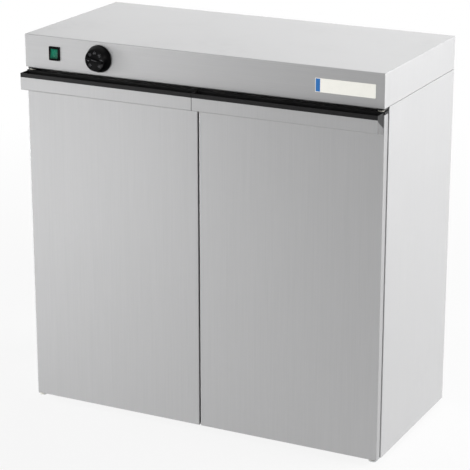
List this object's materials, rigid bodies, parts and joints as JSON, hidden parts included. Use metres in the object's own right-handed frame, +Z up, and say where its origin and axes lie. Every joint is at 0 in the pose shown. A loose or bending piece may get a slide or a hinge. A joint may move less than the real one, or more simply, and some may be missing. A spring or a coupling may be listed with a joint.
{
  "type": "plate warmer cabinet",
  "caption": "Free-standing stainless plate warmer with hinged doors, full-width finger grips, a hood with rocker switch and thermostat, wire shelves and a heater under a slotted floor.",
  "frame": {"origin": "on the floor, under the middle of the whole cabinet's bounding box", "axes": "+X to the user's right, +Y from the doors to the back, +Z up"},
  "size_m": [0.85, 0.444, 0.86],
  "materials": {
    "brushed_stainless": "brushed satin",
    "mill_stainless": "mill finish",
    "black_plastic": "fine matt",
    "zinc_steel": "bright zinc plate",
    "nylon": "natural",
    "mineral_wool": "loose fibre slab",
    "heater_sheath": "heat-darkened",
    "ceramic": "unglazed ceramic with a steel stud",
    "shelf_wire": "polished wire",
    "magnet": "sintered, dark",
    "rubber": "matt",
    "black_gloss": "moulded, low gloss",
    "green_lamp": "tinted clear moulding",
    "thermostat_case": "pressed",
    "brass": "plain",
    "copper_tube": "drawn tube",
    "lead_insulation": "braided sleeve",
    "nameplate_cream": "lacquered, blank"
  },
  "bodies": {
    "cabinet": {"back_panel": "mill_stainless", "base_pan": "mill_stainless", "cable_gland": "black_gloss", "case_screws": "zinc_steel", "catch_housings": "black_plastic", "catch_magnets": "magnet", "control_terminals": "brass", "deck": "mill_stainless", "door_buffers": "rubber", "false_floor": "mill_stainless", "feet": "rubber", "feet_screws": "zinc_steel", "gland_locknut": "black_gloss", "heater_clips": "zinc_steel", "heater_terminals": "ceramic", "heating_element": "heater_sheath", "hinge_pins": "zinc_steel", "hinge_plates": "zinc_steel", "hinge_washers": "nylon", "insulation_back": "mineral_wool", "insulation_floor": "mineral_wool", "insulation_side_left": "mineral_wool", "insulation_side_right": "mineral_wool", "insulation_top": "mineral_wool", "internal_leads": "lead_insulation", "lead_grommet": "rubber", "liner_ceiling": "mill_stainless", "liner_floor": "mill_stainless", "liner_walls": "mill_stainless", "nameplate": "nameplate_cream", "sensor_clips": "zinc_steel", "shelf_lower": "shelf_wire", "shelf_runners": "mill_stainless", "shelf_upper": "shelf_wire", "side_panel_left": "brushed_stainless", "side_panel_right": "brushed_stainless", "switch_body": "black_gloss", "temperature_sensor": "copper_tube", "terminal_block": "nylon", "thermostat_body": "thermostat_case", "top_hood": "brushed_stainless", "top_rail": "mill_stainless"},
    "door_left": {"door_skin_left": "brushed_stainless", "door_liner_left": "mill_stainless", "door_insulation_left": "mineral_wool", "door_grip_left": "black_plastic", "grip_end_caps_left": "black_plastic", "hinge_blocks_left": "nylon", "strike_plate_left": "mill_stainless"},
    "door_right": {"door_skin_right": "brushed_stainless", "door_liner_right": "mill_stainless", "door_insulation_right": "mineral_wool", "door_grip_right": "black_plastic", "grip_end_caps_right": "black_plastic", "hinge_blocks_right": "nylon", "strike_plate_right": "mill_stainless"},
    "knob": {"thermostat_knob": "black_gloss", "thermostat_shaft": "zinc_steel"},
    "rocker": {"switch_rocker": "green_lamp"}
  },
  "joints": [
    {"name": "left_door_hinge", "type": "hinge", "parent": "cabinet", "child": "door_left", "pos_m": [-0.4128, -0.184, 0.4], "axis": [0, 0, -1], "range_deg": [0, 110]},
    {"name": "right_door_hinge", "type": "hinge", "parent": "cabinet", "child": "door_right", "pos_m": [0.4128, -0.184, 0.4], "axis": [0, 0, 1], "range_deg": [0, 110]},
    {"name": "thermostat_turn", "type": "hinge", "parent": "cabinet", "child": "knob", "pos_m": [-0.2367, -0.205, 0.823], "axis": [0, 1, 0], "range_deg": [0, 270]},
    {"name": "power_rocker", "type": "hinge", "parent": "cabinet", "child": "rocker", "pos_m": [-0.349, -0.192, 0.823], "axis": [1, 0, 0], "range_deg": [0, 16]}
  ]
}
